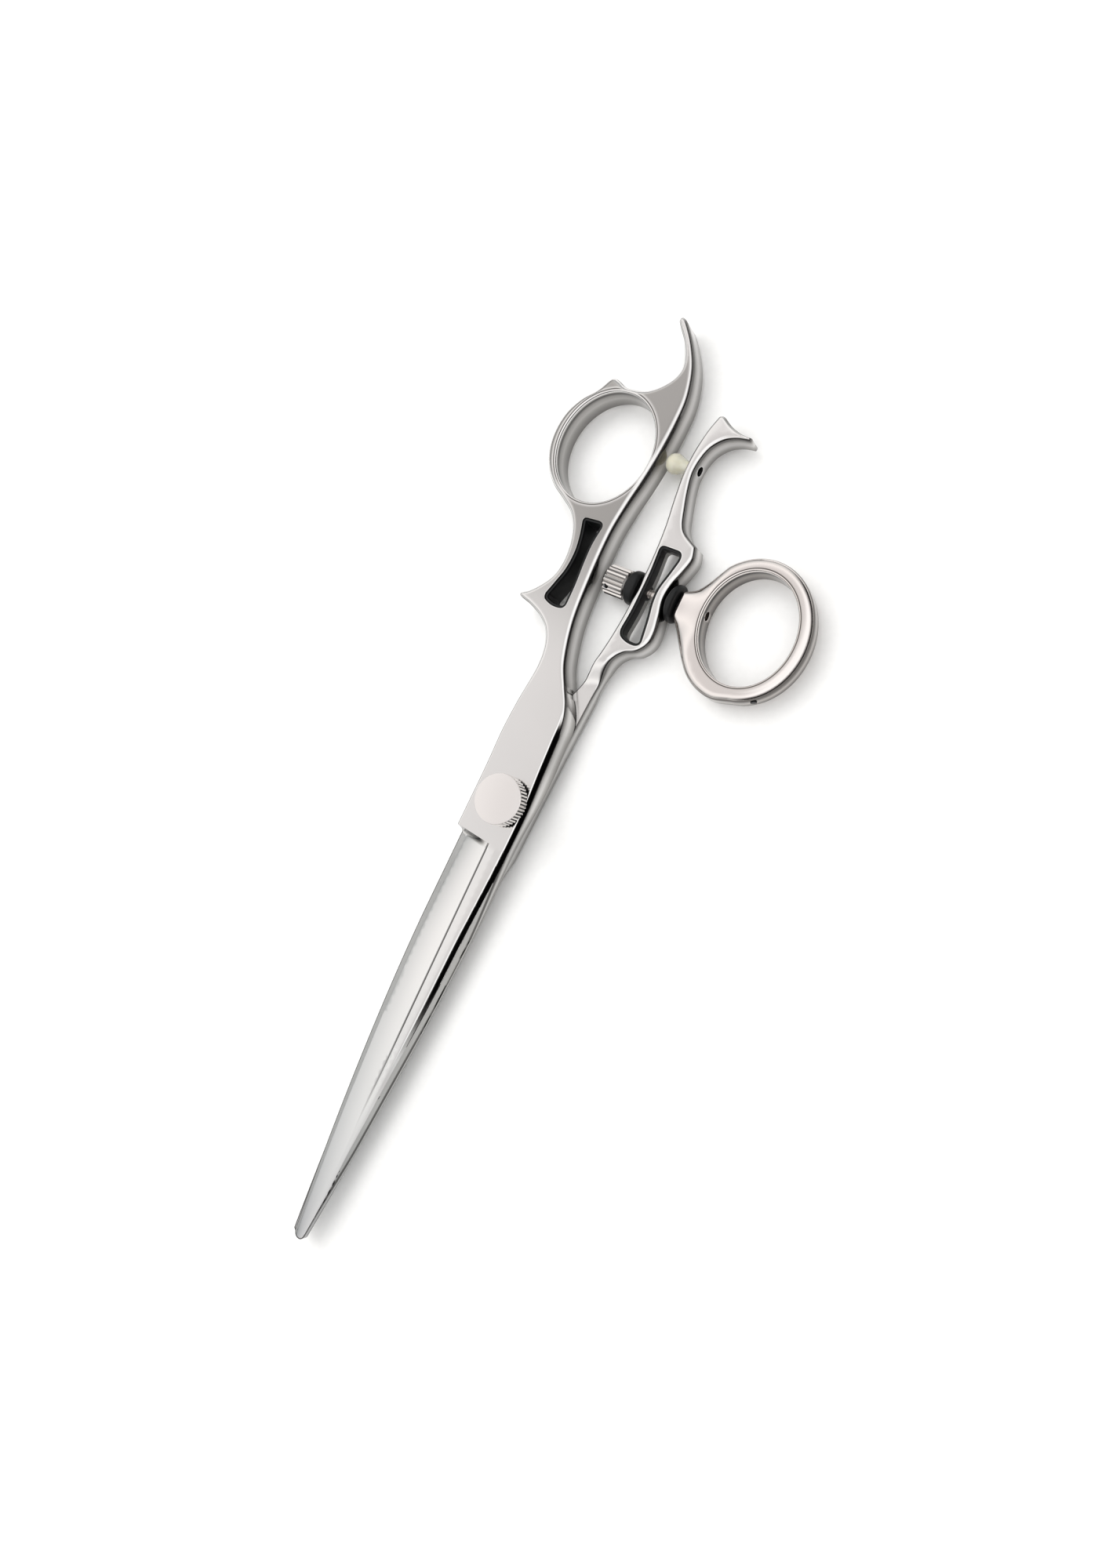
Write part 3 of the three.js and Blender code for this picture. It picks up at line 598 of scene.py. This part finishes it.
def finger_half():
    outline = finger_outline()
    upper_face, cutting_edge = 7.2, 4.15  # heights
    milled_area = trace(
        (12, -5), ("line", (12, 45), (1.9, 45), (1.9, 40)),
        ("curve", (1.3, 28), (-0.4, 23), (-3.75, 17.6)),
        ("curve", (-7.7, 16.27), (-12.0, 13.4), (-15.6, 9.0)), ("line", (-15.6, -5), (12, -5)))

    def top(x, y, away):
        outer, ring, slot, _ = away
        t = down_blade(y)
        edge, spine = edge_x(t), spine_x(t)
        crest = upper_face - 2.0 * t
        bevel, ridge = bevel_x(t), ridge_x(t)
        shoulder = cutting_edge + 0.575 * (bevel - edge)
        facet = cutting_edge + (shoulder - cutting_edge) * (x - edge) / (bevel - edge)
        share = np.clip((x - bevel) / (ridge - bevel), 0, 1)
        hollow = shoulder + (crest - shoulder) * (1.42 * share - 0.42 * share**2)
        from_ridge = np.clip((x - ridge) / (spine - ridge), 0, 1)
        back = crest + 0.045 * (spine - ridge) * np.where(
            from_ridge < 0.45, from_ridge, 0.9 - from_ridge)
        blade = np.where(x < bevel, facet, np.where(x < ridge, hollow, back))
        blade -= 0.16 * (1 - step(-y, 50, 72)) * np.clip(1 - np.abs(x - ridge) / 0.24, 0, 1)
        run_out = np.clip(1 - (plunge_line(x) - y) / 1.3, 0, 1) ** 2
        blade += run_out * (upper_face - blade)
        on_right = step(x, -2.0, -1.0) * (1 - step(y, 15, 21))
        past = np.where(y < PLUNGE_Y, spine - x - side_width(y), outer)
        chamfer = 0.8 * np.clip(1 - past / 0.6, 0, 1) + 0.12 * np.clip((0.85 - past) / 0.25, 0, 1) ** 2
        chamfer = chamfer * (1 - step(t, 0.25, 0.65)) + 1.7 * np.clip(-past, 0, None)
        blade -= np.where(x > ridge, np.minimum(chamfer, crest - 4.5), 0)
        radius = np.interp(y, (-8.5, 18, 26, 60, 66, 82, 96), (0.35, 0.4, 0.9, 1.1, 1.3, 1.2, 0.9))
        radius = radius + 0.5 * step(-x, 12, 20) * step(y, 58, 64)
        handle = upper_face - (1 - on_right) * round_over(outer, radius) - on_right * chamfer
        handle -= round_over(ring, 0.4) + round_over(slot, 0.25)
        return np.where(y < plunge_line(x), blade, handle)

    def under(x, y, away):
        outer, ring, slot, _ = away
        milled = (depth_in(milled_area, np.stack([x, y], 1)) > 0) | (y < 0)
        handle = 0.9 + round_over(outer, 0.5) + round_over(ring, 0.4) + round_over(slot, 0.25)
        return np.where(milled, 4.0, np.minimum(handle, 3.9))

    # Creases run along the ridge, the bevel, the back's high line, and the ground side with its
    # chamfer. The last three stop where they fade out, towards the tip.
    side_stretch, chamfer_stretch = slice(15, 175), slice(15, 150)
    down = np.arange(PLUNGE_Y - 0.6, -93.8, -0.4)
    t_down = down_blade(down)
    ridge, bevel = ridge_x(t_down), bevel_x(t_down)
    high_line = ridge * 0.55 + spine_x(t_down) * 0.45
    side = spine_x(t_down) - side_width(down)
    creases = [np.stack([ridge + gap, down], 1) for gap in (-0.24, -0.13, 0.0, 0.13, 0.24)]
    creases += [np.stack([bevel + gap, down], 1) for gap in (-0.06, 0.0)]
    creases.append(np.stack([high_line, down], 1)[:110])
    creases += [np.stack([side - gap, down], 1)[side_stretch] for gap in (0.0, 0.05)]
    creases += [np.stack([side - gap, down], 1)[chamfer_stretch]
                for gap in (0.6, 0.72, 0.85)]
    plunge_x = np.linspace(-7.4, 4.3, 40)
    for gap in (0.02, 0.0, -0.2, -0.45, -0.8, -1.3):
        creases.append(np.stack([plunge_x, plunge_line(plunge_x) + gap], 1))
    for gap in (0.02, -0.02):
        line = drawn_in(milled_area, gap)
        line = line[(line[:, 1] > 5) & (line[:, 1] < 35)]
        creases.append(line[depth_in(outline, line) > 0.05])
    pivot = circle(0, 0, 2.62)

    # Painted shade and painted reflections: a dark line on the ridge, a grey cutting bevel, a dark
    # plunge cove, a grey band down the ground side, a black strip on the chamfer, a darker top on the
    # handle, and a dark line round the ring's hole.
    def painted_shade(x, y, away):
        t = down_blade(y)
        on_blade = y < plunge_line(x) + 0.01
        on_ridge = np.abs(x - ridge_x(t)) < 0.15
        on_facet = x < bevel_x(t) - 0.03
        run_out = np.clip(1 - (plunge_line(x) - y) / 1.3, 0, 1)
        painted_dark = 0.55 * on_ridge * (1 - step(-y, 45, 72))
        painted_dark = np.maximum(painted_dark, on_facet * (0.06 + 0.14 * t))
        painted_dark = np.maximum(painted_dark, 0.75 * np.minimum(1.6 * run_out, 1) * step(0.4 - x, 0.0, 2.5))
        outer, ring, _, _ = away
        # satin is painted shade, darkening the handle's top away from its edges.
        satin = 0.3 * step(np.minimum(outer, ring), 0.5, 1.2) * step(y, 26, 58)
        painted_rim_line = 0.6 * np.clip(1.5 - np.abs(ring - 0.5) / 0.1, 0, 1) * step(outer, 0.8, 1.3)
        past = np.where(y < PLUNGE_Y, spine_x(t) - x - side_width(y), outer)
        on_chamfer = (past < 0.59) & (past > (y < -15) * 0.04 - 0.01) & (x > 0.2) & (y < 21)
        on_side = (past < 0.01) & (y < -15) & (x > ridge_x(t))
        shadow_facet = 0.88 * on_chamfer * (1 - step(t, 0.3, 0.62)) * (1 - step(y, 14, 20))
        painted_dark = np.where(on_side, 0.2, painted_dark)
        return np.maximum(np.where(on_blade, painted_dark, np.maximum(satin, painted_rim_line)), shadow_facet)

    def flare(x, y, away):
        side = np.clip(1 - away[0] / 1.5, 0, 1) * (x > 1.5)
        return 1.3 * side * step(y, -8, 10) * (1 - step(y, 17, 27))

    insets = (0.02, 0.08, 0.16, 0.27, 0.38, 0.45, 0.55, 0.62, 0.72, 0.85, 1.0, 1.15, 1.3, 1.5)
    return forging("finger_half", [outline, ellipse(*FINGER_HOLE), finger_slot(0), pivot], creases,
                   top, under, insets, 1.1, painted_shade, wall=0.8, flare=flare)


upper_half = finger_half()
upper_half.data.materials.append(polished)
smooth(upper_half)
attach(upper_half, "upper")
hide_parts("blade_upper")


# ---------------------------------------------------------------- window linings
# Black soft plastic frames pressed into the slot and the window, 0.45 mm thick with a small lip.
# They are bonded to the steel and stop a little below its faces. The swivel bolt goes through the
# window's lining, which has no hole for it here.

def black_rubber():
    """Moulded black rubber: matt, with the fine grain of the mould, 0.2 mm across."""
    material, tree, shader = new_material(
        "moulded_black_rubber", Roughness=0.5, Specular_IOR_Level=0.35)
    place = add(tree, "ShaderNodeTexCoord").outputs["Object"]
    grain = add(tree, "ShaderNodeTexNoise", None, {"Vector": place, "Scale": 1 / (0.2 * MM)})
    colour = ramp(tree, grain.outputs["Fac"], [(0.3, "#0b0c0d"), (0.7, "#141516")])
    tree.links.new(colour, shader.inputs["Base Color"])
    bump = add(tree, "ShaderNodeBump", None, {
        "Height": grain.outputs["Fac"], "Strength": 0.3, "Distance": 0.02 * MM})
    tree.links.new(bump.outputs["Normal"], shader.inputs["Normal"])
    return material


def lining(name, outline, low, high):
    """A thin closed frame that follows an outline, with rounded lips."""
    def top(x, y, away):
        return high - round_over(np.minimum(*away), 0.14)

    def under(x, y, away):
        return low + round_over(np.minimum(*away), 0.14)

    return forging(name, [outline(0.03), outline(0.48)], [], top, under, (0.02, 0.06, 0.14), 1.0)


rubber = black_rubber()
for name, outline, low, high, body, node in (
        ("thumb_window_lining", thumb_window, 3.7, 6.1, "lower", "thumb_window_liner"),
        ("finger_slot_lining", finger_slot, 1.1, 6.9, "upper", "finger_slot_liner")):
    frame_lining = lining(name, outline, low, high)
    frame_lining.data.materials.append(rubber)
    smooth(frame_lining)
    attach(frame_lining, body)
    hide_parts(node)


# ---------------------------------------------------------------- pivot
# A shouldered screw through both halves, its head underneath. A nylon bush, a thin nylon washer
# between the halves, a spring washer and a notched click plate run on it, under the tension dial.

def turned(name, profile, sides=96):
    """A solid of revolution about Z from (radius, height) corners, from the axis or closed."""
    closed = profile[0] == profile[-1]
    corners = profile[:-1] if closed else profile
    tool = bmesh.new()
    rings = []
    for radius, height in corners:
        if radius == 0:
            rings.append([tool.verts.new((0, 0, height * MM))])
        else:
            angles = [i * 2 * math.pi / sides for i in range(sides)]
            rings.append([tool.verts.new((radius * MM * math.cos(a), radius * MM * math.sin(a),
                                          height * MM)) for a in angles])
    pairs = list(zip(rings, rings[1:])) + ([(rings[-1], rings[0])] if closed else [])
    for one, two in pairs:
        for i in range(sides):
            j = (i + 1) % sides
            corner = [one[i % len(one)], one[j % len(one)], two[j % len(two)], two[i % len(two)]]
            tool.faces.new(list(dict.fromkeys(corner)))
    bmesh.ops.recalc_face_normals(tool, faces=tool.faces)
    mesh = bpy.data.meshes.new(name)
    tool.to_mesh(mesh)
    tool.free()
    piece = bpy.data.objects.new(name, mesh)
    scene.collection.objects.link(piece)
    return piece


def rounded(corners, radius, arcs=4):
    """The corners of a profile, each softened by a small arc, apart from the first and last."""
    path = [corners[0]]
    for before, corner, after in zip(corners, corners[1:], corners[2:]):
        before, corner, after = Vector(before), Vector(corner), Vector(after)
        reach = min(radius, 0.45 * (corner - before).length, 0.45 * (after - corner).length)
        start = corner + (before - corner).normalized() * reach
        end = corner + (after - corner).normalized() * reach
        for i in range(arcs + 1):
            t = i / arcs
            path.append(tuple((1 - t) ** 2 * start + 2 * t * (1 - t) * corner + t * t * end))
    return path + [corners[-1]]


def knurling():
    """Geometry nodes: straight ribs set round a turned blank, standing along its axis."""
    group = bpy.data.node_groups.new("knurling", "GeometryNodeTree")
    sockets = {}
    for name, kind in (("Blank", "Geometry"), ("Radius", "Float"), ("Length", "Float"),
                       ("Ribs", "Int"), ("Rib Height", "Float"), ("Painted Shade", "Float"),
                       ("Finish", "Material")):
        sockets[name] = group.interface.new_socket(
            name, in_out="INPUT", socket_type="NodeSocket" + kind)
    group.interface.new_socket("Geometry", in_out="OUTPUT", socket_type="NodeSocketGeometry")
    given = add(group, "NodeGroupInput").outputs
    seats = add(group, "GeometryNodeMeshCircle", None, {
        "Vertices": given["Ribs"], "Radius": given["Radius"]})
    rib = add(group, "GeometryNodeMeshCylinder", None, {
        "Vertices": 4, "Radius": given["Rib Height"], "Depth": given["Length"]})
    place = add(group, "GeometryNodeInputPosition")
    outward = add(group, "FunctionNodeAlignRotationToVector", {"axis": "X"}, {
        "Vector": place.outputs["Position"]})
    ribs = add(group, "GeometryNodeInstanceOnPoints", None, {
        "Points": seats.outputs["Mesh"], "Instance": rib.outputs["Mesh"],
        "Rotation": outward.outputs["Rotation"]})
    # The blank between the ribs is painted dark: painted shade between them.
    greasy = add(group, "GeometryNodeStoreNamedAttribute", None, {
        "Geometry": given["Blank"], "Name": "painted_shade", "Value": given["Painted Shade"]})
    joined = add(group, "GeometryNodeJoinGeometry", None, {"Geometry": ribs.outputs["Instances"]})
    group.links.new(greasy.outputs["Geometry"], joined.inputs["Geometry"])
    real = add(group, "GeometryNodeRealizeInstances", None, {"Geometry": joined.outputs["Geometry"]})
    finish = add(group, "GeometryNodeSetMaterial", None, {
        "Geometry": real.outputs["Geometry"], "Material": given["Finish"]})
    add(group, "NodeGroupOutput", None, {"Geometry": finish.outputs["Geometry"]})
    return group, {name: socket.identifier for name, socket in sockets.items()}


def with_nodes(piece, made, values):
    """Runs a geometry node group on a piece and keeps the result as its mesh."""
    group, identifiers = made
    modifier = piece.modifiers.new(group.name, "NODES")
    modifier.node_group = group
    for name, value in values.items():
        modifier[identifiers[name]] = value
    return baked(piece)


def mottled(name, size, dark, light, **constants):
    """A finish whose colour wanders between two tones, in patches of a size in millimetres."""
    material, tree, shader = new_material(name, **constants)
    place = add(tree, "ShaderNodeTexCoord").outputs["Object"]
    patches = add(tree, "ShaderNodeTexNoise", None, {"Vector": place, "Scale": 1 / (size * MM)})
    tone = ramp(tree, patches.outputs["Fac"], [(0.35, dark), (0.65, light)])
    tree.links.new(tone, shader.inputs["Base Color"])
    return material


def zinc_plate():
    """The bolt: steel plated with bright zinc, slightly milky, with the plating's faint patches."""
    return mottled("zinc_plated_steel", 0.8, "#ebe2dc", "#f8f1ec", Metallic=1.0, Roughness=0.42)


def turned_steel():
    """Bar steel turned and knurled on a lathe: fine tool marks 0.12 mm apart, slightly soft,
    with painted shade between the ribs and in drilled holes."""
    material, tree, shader = new_material("turned_steel", Metallic=1.0, Roughness=0.22)
    place = add(tree, "ShaderNodeTexCoord").outputs["Object"]
    painted_shade = add(tree, "ShaderNodeAttribute", {"attribute_name": "painted_shade"}).outputs["Fac"]
    tone = ramp(tree, painted_shade, [(0.0, "#e2dedb"), (0.8, "#1b1a1a")])
    tree.links.new(tone, shader.inputs["Base Color"])
    grain = add(tree, "ShaderNodeTexNoise", None, {"Vector": place, "Scale": 1 / (0.12 * MM)})
    bump = add(tree, "ShaderNodeBump", None, {
        "Height": grain.outputs["Fac"], "Strength": 0.15, "Distance": 0.01 * MM})
    tree.links.new(bump.outputs["Normal"], shader.inputs["Normal"])
    return material


def satin_disc():
    """Steel faced on a lathe and left satin: rings 0.2 mm apart round the pivot."""
    material, tree, shader = new_material(
        "satin_faced_steel", Metallic=1.0, Base_Color=srgb("#e9e5e3"))
    place = add(tree, "ShaderNodeTexCoord").outputs["Object"]
    flat = add(tree, "ShaderNodeVectorMath", {"operation": "MULTIPLY"}, {0: place, 1: (1, 1, 0)})
    radius = add(tree, "ShaderNodeVectorMath", {"operation": "LENGTH"}, {0: flat.outputs["Vector"]})
    rings = add(tree, "ShaderNodeTexNoise", {"noise_dimensions": "1D"}, {
        "W": radius.outputs["Value"], "Scale": 1 / (0.2 * MM), "Detail": 2.0})
    roughness = add(tree, "ShaderNodeMapRange", None, {
        "Value": rings.outputs["Fac"], "To Min": 0.26, "To Max": 0.36})
    tree.links.new(roughness.outputs["Result"], shader.inputs["Roughness"])
    bump = add(tree, "ShaderNodeBump", None, {
        "Height": rings.outputs["Fac"], "Strength": 0.12, "Distance": 0.01 * MM})
    tree.links.new(bump.outputs["Normal"], shader.inputs["Normal"])
    return material


def natural_nylon():
    """Natural nylon: milky and slightly waxy, a little cloudy from the mould."""
    return mottled("natural_nylon", 1.2, "#e5e0d3", "#ece9df", Roughness=0.45,
                   Subsurface_Weight=0.2, Subsurface_Scale=0.3 * MM)


steel = turned_steel()
satin = satin_disc()
nylon = natural_nylon()
knurl = knurling()

screw = turned("pivot_screw_turned", rounded(
    [(0, 0.0), (3.3, 0.0), (3.3, 0.6), (2.0, 0.6), (2.0, 9.8), (0, 9.8)], 0.12))
screw.data.materials.append(steel)
smooth(screw)
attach(screw, "lower")
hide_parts("pivot_screw")

dial = turned("tension_dial", rounded(
    [(2.08, 8.0), (4.7, 8.0), (4.78, 8.2), (4.78, 10.5), (2.08, 10.5), (2.08, 8.0)], 0.06))
dial.data.transform(Matrix.Translation((0, 0, -9.3 * MM)))
with_nodes(dial, knurl, {"Radius": 4.79 * MM, "Length": 2.4 * MM, "Ribs": 44, "Rib Height": 0.2 * MM,
                         "Painted Shade": 0.8, "Finish": steel})
dial.data.transform(Matrix.Translation((0, 0, 9.3 * MM)))
smooth(dial)
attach(dial, "dial")
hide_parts("pivot_dial")

cap = turned("dial_disc", rounded([(0, 10.52), (4.88, 10.52), (4.88, 11.0), (0, 11.0)], 0.1))
cap.data.materials.append(satin)
smooth(cap)
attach(cap, "dial")
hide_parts("dial_cap")

for node, finish in (("pivot_bushing", nylon), ("ride_washer", nylon), ("tension_spring", steel),
                     ("click_plate", steel)):
    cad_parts[node].data.materials[0] = finish


# ---------------------------------------------------------------- thumb swivel
# A threaded bolt crosses the window in two nylon sleeves. Its inner end carries a knurled knob on
# a rubber washer, and its outer end is screwed into the neck of the thumb ring past a collar.

SWIVEL = Vector((0, SWIVEL_Y, BORE_Z)) * MM


def along_x(piece):
    """Lays a piece made about Z along the swivel's axis, its heights becoming places along X."""
    piece.data.transform(Matrix.Translation(SWIVEL) @ Matrix.Rotation(math.pi / 2, 4, "Y"))
    return piece


def thread():
    """Geometry nodes: a helical ridge round a plain rod, as a rolled thread has."""
    group = bpy.data.node_groups.new("thread", "GeometryNodeTree")
    sockets = {}
    for name, kind in (("Core", "Geometry"), ("Radius", "Float"), ("Length", "Float"),
                       ("Turns", "Float"), ("Ridge", "Float"), ("Finish", "Material")):
        sockets[name] = group.interface.new_socket(
            name, in_out="INPUT", socket_type="NodeSocket" + kind)
    group.interface.new_socket("Geometry", in_out="OUTPUT", socket_type="NodeSocketGeometry")
    given = add(group, "NodeGroupInput").outputs
    helix = add(group, "GeometryNodeCurveSpiral", None, {
        "Resolution": 28, "Rotations": given["Turns"], "Start Radius": given["Radius"],
        "End Radius": given["Radius"], "Height": given["Length"]})
    section = add(group, "GeometryNodeCurvePrimitiveCircle", None, {
        "Resolution": 4, "Radius": given["Ridge"]})
    ridge = add(group, "GeometryNodeCurveToMesh", None, {
        "Curve": helix.outputs["Curve"], "Profile Curve": section.outputs["Curve"], "Fill Caps": True})
    joined = add(group, "GeometryNodeJoinGeometry", None, {"Geometry": ridge.outputs["Mesh"]})
    group.links.new(given["Core"], joined.inputs["Geometry"])
    real = add(group, "GeometryNodeRealizeInstances", None, {"Geometry": joined.outputs["Geometry"]})
    finish = add(group, "GeometryNodeSetMaterial", None, {
        "Geometry": real.outputs["Geometry"], "Material": given["Finish"]})
    add(group, "NodeGroupOutput", None, {"Geometry": finish.outputs["Geometry"]})
    return group, {name: socket.identifier for name, socket in sockets.items()}


# The sleeves: nylon dyed black, with the mould's low sheen.
black_nylon = mottled("black_nylon", 0.5, "#0f1011", "#18191a", Roughness=0.45)
for node in ("swivel_sleeve_inner", "swivel_sleeve_outer"):
    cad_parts[node].data.materials[0] = black_nylon

bolt = turned("swivel_bolt_threaded", rounded([(0, 0), (0.72, 0), (0.72, 19.0), (0, 19.0)], 0.2), 32)
with_nodes(bolt, thread(), {"Radius": 0.7 * MM, "Length": 18.8 * MM, "Turns": 42.0, "Ridge": 0.14 * MM,
                            "Finish": zinc_plate()})
bolt.data.transform(Matrix.Translation((0, 0, -1.9 * MM)))
along_x(bolt)
smooth(bolt)
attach(bolt, "thumb")
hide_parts("swivel_bolt")

knob = turned("adjuster_knob_knurled", rounded(
    [(0, -2.6), (2.45, -2.6), (2.75, -2.25), (2.75, 2.2), (2.5, 2.6), (0.95, 2.6), (0.95, -1.9),
     (0, -1.9)], 0.1))
with_nodes(knob, knurl, {"Radius": 2.74 * MM, "Length": 4.3 * MM, "Ribs": 20, "Rib Height": 0.25 * MM,
                         "Painted Shade": 0.6, "Finish": steel})
knob.data.transform(Matrix.Translation((0, 0, -0.3 * MM)))
along_x(knob)
screw_place = Vector((-1.75, SWIVEL_Y, BORE_Z))
screw_axis = Vector((0, -math.sin(math.pi / 4), math.sin(math.pi / 4)))
drilled(knob, rod(0.56, screw_place + screw_axis * 1.2, screw_place + screw_axis * 4, 32))
smooth(knob)
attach(knob, "knob")
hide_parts("adjuster_knob")

washer = along_x(turned("knob_washer_moulded", rounded(
    [(1.0, 2.4), (3.0, 2.4), (3.4, 2.9), (3.4, 4.1), (3.0, 4.6), (1.0, 4.6), (1.0, 2.4)], 0.3)))
washer.data.materials.append(rubber)
smooth(washer)
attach(washer, "lower")
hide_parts("knob_washer")

collar = along_x(turned("ring_collar_moulded", rounded(
    [(1.0, 11.15), (1.6, 11.2), (2.6, 11.5), (3.4, 11.8), (3.75, 12.2), (3.75, 12.9), (3.4, 13.2),
     (1.0, 13.2), (1.0, 11.15)], 0.3)))
collar.data.materials.append(rubber)
smooth(collar)
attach(collar, "thumb")
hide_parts("ring_collar")


# ---------------------------------------------------------------- thumb ring
# A forged oval ring with a neck that takes the bolt: nearly round in section, with a crease on top
# where the outer band meets the thumb's side, drawn with a painted dark line. A small grub screw in its
# rim locks the bolt.

RING = (28.5, 47.7, 10.5, 12.15, 0.165)  # middle, half axes and turn of the band's middle line


def thumb_ring():
    band = ellipse(*RING, grow=1.35, count=400)
    rim = band[[i % 400 for i in range(-97, 142)]]
    outline = trace(
        tuple(rim[0]), ("line", *[tuple(p) for p in rim[1:]]),
        ("curve", (17.4, 53.3), (15.6, 51.3), (13.6, 50.2)), ("bend", (13.3, 50.0), (13.3, 49.6)),
        ("line", (13.3, 45.9)), ("bend", (13.3, 45.2), (13.7, 44.7)),
        ("curve", (15.5, 42.5), (18.6, 38.7), (21.2, 35.9), (24.2, 34.2), (27.6, 33.6), tuple(rim[0])))
    hole = ellipse(*RING, grow=-1.35)

    def neck(x):
        """0 in the band of the ring, 1 at the end of the neck."""
        return step(19.8 - x, 0, 6.0)

    def profile(x, y, away):
        outer, inner = away
        drop = round_over(outer, 1.9 - 0.9 * neck(x), 1.3 - 0.2 * neck(x))
        drop += round_over(inner, 0.4, 0.5)
        return drop + neck(x) * (0.35 + np.minimum(0.07 * (y - 47.5) ** 2, 1.0))

    def top(x, y, away):
        return 6.4 - profile(x, y, away)

    def under(x, y, away):
        return 1.2 + profile(x, y, away)

    # A painted dark line round the hole: a painted reflection along the crease.
    def painted_shade(x, y, away):
        return 0.6 * np.clip(1.5 - np.abs(away[1] - 0.48) / 0.1, 0, 1)

    return forging("thumb_ring_forged", [outline, hole], [], top, under,
                   (0.02, 0.08, 0.16, 0.25, 0.34, 0.43, 0.53, 0.62, 0.85, 1.1, 1.3), 0.8,
                   painted_shade, wall=1.1)


ring = thumb_ring()
ring.data.materials.append(stainless(
    "warm_polished_stainless_steel", [(0.0, "#e6e0dd"), (1.0, "#e6e0dd")]))
rim_screw = Vector((RING[0], RING[1], 4.5))
inward = Vector((-math.sin(0.52), math.cos(0.52), 0))
drilled(ring, rod(0.91, (10, SWIVEL_Y, BORE_Z), (22, SWIVEL_Y, BORE_Z)),
        rod(0.66, rim_screw - inward * 11.5, rim_screw - inward * 15.5, 32))
smooth(ring)
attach(ring, "thumb")
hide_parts("thumb_ring")


# Grub screws: steel blackened in hot oxide, with a low and slightly uneven sheen.
black_oxide_and_hole_shade = mottled("black_oxide_steel_and_hole_shade", 0.3, "#151516", "#232324", Metallic=0.8, Roughness=0.4)
# The bumper's stem is no grub screw: it takes the same black as painted shade at the back of its hole.
for node in ("knob_set_screw", "ring_screw", "bumper_stem"):
    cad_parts[node].data.materials[0] = black_oxide_and_hole_shade


# ---------------------------------------------------------------- bumper
# A soft silicone ball on a threaded stem in the saddle, which quietens the handles as they close.
# Cast clear with a yellow tint, so light goes a little way in.

def tinted_silicone():
    """Cast silicone: pale yellow, translucent and smooth, with faint clouds from the casting."""
    return mottled(
        "tinted_silicone", 1.5, "#ece8d2", "#f3f1e1", Roughness=0.2, IOR=1.41,
        Subsurface_Weight=0.3, Subsurface_Radius=(1.0, 0.9, 0.6), Subsurface_Scale=0.8 * MM,
        Transmission_Weight=0.35)


ball = [(0, -2.5)]
for i in range(1, 25):
    angle = math.radians(i * 5)
    ball.append((2.0 * math.sin(angle), -0.5 - 2.0 * math.cos(angle)))
ball += [(1.45, 1.1), (1.25, 2.0), (1.2, 2.8), (0.74, 2.83), (0.74, 0.9), (0, 0.9)]
bumper = turned("bumper_ball", ball, 64)
bumper.data.transform(Matrix.Rotation(math.pi / 2, 4, "Y"))
bumper.data.transform(Matrix.Translation(Vector((0, BUMPER_Y, BORE_Z)) * MM))
bumper.data.materials.append(tinted_silicone())
smooth(bumper)
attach(bumper, "lower")
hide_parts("bumper")
